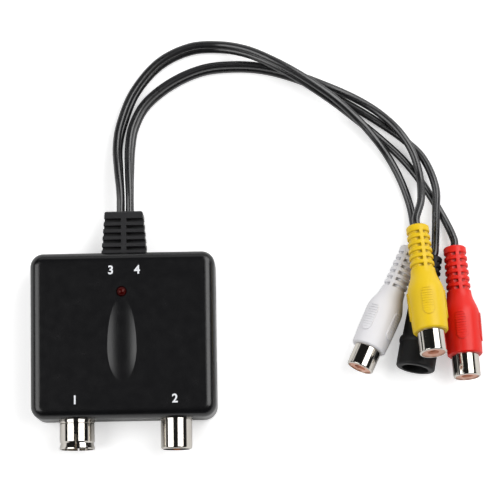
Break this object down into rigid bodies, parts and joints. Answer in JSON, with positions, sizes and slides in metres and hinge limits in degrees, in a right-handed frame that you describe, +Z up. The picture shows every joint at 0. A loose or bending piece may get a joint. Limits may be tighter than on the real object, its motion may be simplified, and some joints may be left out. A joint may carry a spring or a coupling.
{
  "type": "rf modulator",
  "caption": "Small flat black box with aerial input and output sleeves at the front and a ribbed cable boot behind, whose short leads end in phono jacks and a power socket.",
  "frame": {"origin": "on the supporting surface, under the middle of the box with its aerial connectors and cable boot", "axes": "+X to the output connector's side, +Y from the aerial connectors to the cable boot, +Z up"},
  "size_m": [0.1368, 0.1266, 0.0245],
  "materials": {
    "housing": "fine satin black moulding",
    "black_rubber": "soft satin black",
    "white_grip": "soft satin white vinyl",
    "yellow_grip": "soft satin yellow vinyl",
    "red_grip": "soft satin red vinyl",
    "nickel": "bright nickel plate",
    "tin": "dull tin plate",
    "brass": "bright",
    "amber_insulator": "warm amber plastic",
    "cream_insulator": "cream plastic",
    "board": "green solder resist",
    "chip": "black moulding compound",
    "capacitor": "dark sleeve",
    "ceramic_parts": "matt ceramic",
    "lamp": "dark red tinted lens",
    "inner_wire": "satin insulation"
  },
  "bodies": {
    "root": {"bottom_cover": "housing", "top_cover": "housing", "circuit_board": "board", "screening_can": "tin", "can_lid": "tin", "modulator_chip": "chip", "control_chip": "chip", "crystal": "tin", "voltage_regulator": "chip", "electrolytic_capacitors": "capacitor", "chip_parts": "ceramic_parts", "tuning_coils": "tin", "status_lamp": "lamp", "lamp_legs": "tin", "lead_wires": "inner_wire", "rf_in_sleeve": "nickel", "rf_in_insulator": "cream_insulator", "rf_in_contact": "brass", "rf_out_sleeve": "nickel", "rf_out_insulator": "cream_insulator", "rf_out_pin": "brass", "cable_boot": "black_rubber", "white_cord": "black_rubber", "white_boot": "white_grip", "white_barrel": "nickel", "white_insulator": "amber_insulator", "white_contact": "brass", "yellow_cord": "black_rubber", "yellow_boot": "yellow_grip", "yellow_barrel": "nickel", "yellow_insulator": "amber_insulator", "yellow_contact": "brass", "red_cord": "black_rubber", "red_boot": "red_grip", "red_barrel": "nickel", "red_insulator": "amber_insulator", "red_contact": "brass", "power_cord": "black_rubber", "power_boot": "black_rubber", "power_insert": "chip", "power_pin": "nickel"}
  },
  "joints": []
}
